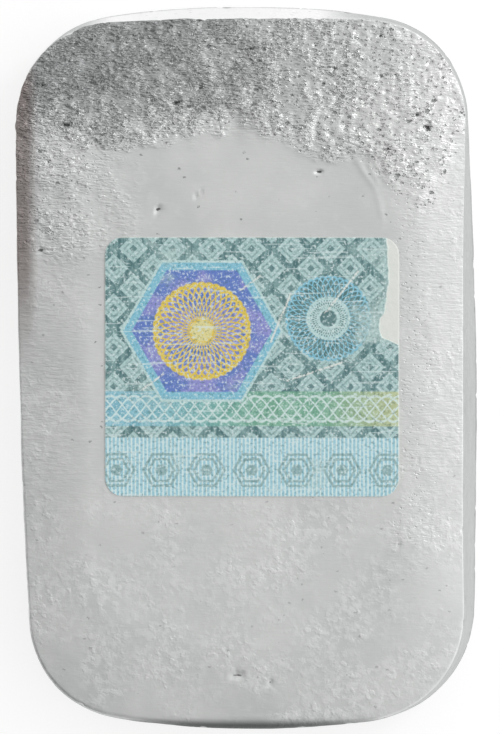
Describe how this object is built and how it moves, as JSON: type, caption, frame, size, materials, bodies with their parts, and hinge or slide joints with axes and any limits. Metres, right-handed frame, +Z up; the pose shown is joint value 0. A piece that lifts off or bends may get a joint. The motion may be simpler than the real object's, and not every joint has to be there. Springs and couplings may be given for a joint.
{
  "type": "metal ingot",
  "caption": "Cast silver ingot: a rounded bar with drafted sides, a pitted face with a torn security label, and a hollowed pour side that it rests on.",
  "frame": {"origin": "under the middle of the ingot's outline, on the surface that it rests on", "axes": "+Y along the ingot to the end away from the viewer, +X to the right, +Z up out of the labelled face"},
  "size_m": [0.0404, 0.0636, 0.0106],
  "materials": {
    "cast_silver": "satin",
    "label_foil": "satin"
  },
  "bodies": {
    "root": {"ingot": "cast_silver", "label": "label_foil"}
  },
  "joints": []
}
